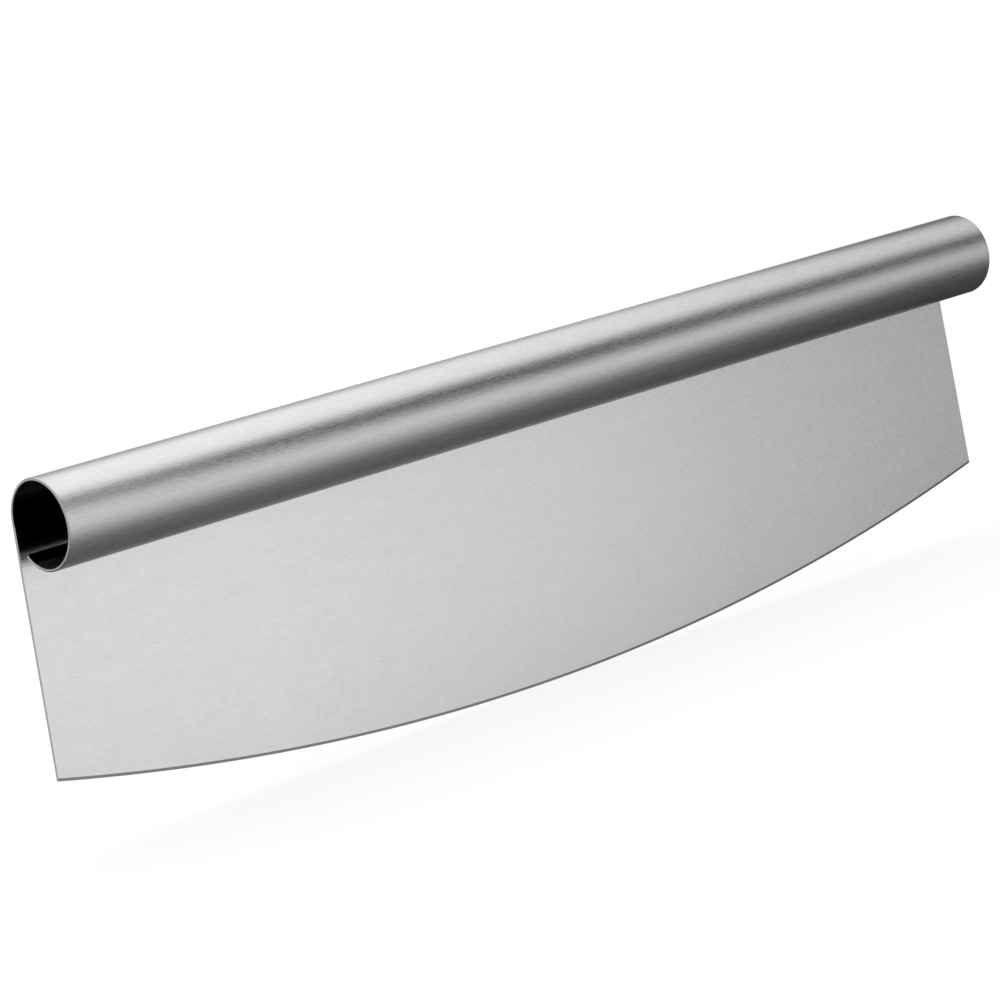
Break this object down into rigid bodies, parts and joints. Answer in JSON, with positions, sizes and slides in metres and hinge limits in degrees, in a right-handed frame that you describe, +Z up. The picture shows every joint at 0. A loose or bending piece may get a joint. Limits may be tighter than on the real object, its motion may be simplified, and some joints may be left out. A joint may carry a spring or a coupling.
{
  "type": "rocking pizza knife",
  "caption": "Rocking knife for pizza, bent from brushed stainless steel sheet: an arc-shaped cutting edge below, and the top rolled forwards into an open tubular handle.",
  "frame": {"origin": "under the middle of the handle's axis, level with the lowest point of the cutting edge", "axes": "+X along the handle, -Y towards the front, the side that the handle is rolled to, and +Z up from the cutting edge to the handle"},
  "size_m": [0.354, 0.024, 0.097],
  "materials": {
    "brushed_steel": "stainless steel, brushed lengthwise, with plain cut edges and a narrow ground cutting edge"
  },
  "bodies": {
    "root": {"rolled_blade": "brushed_steel"}
  },
  "joints": []
}
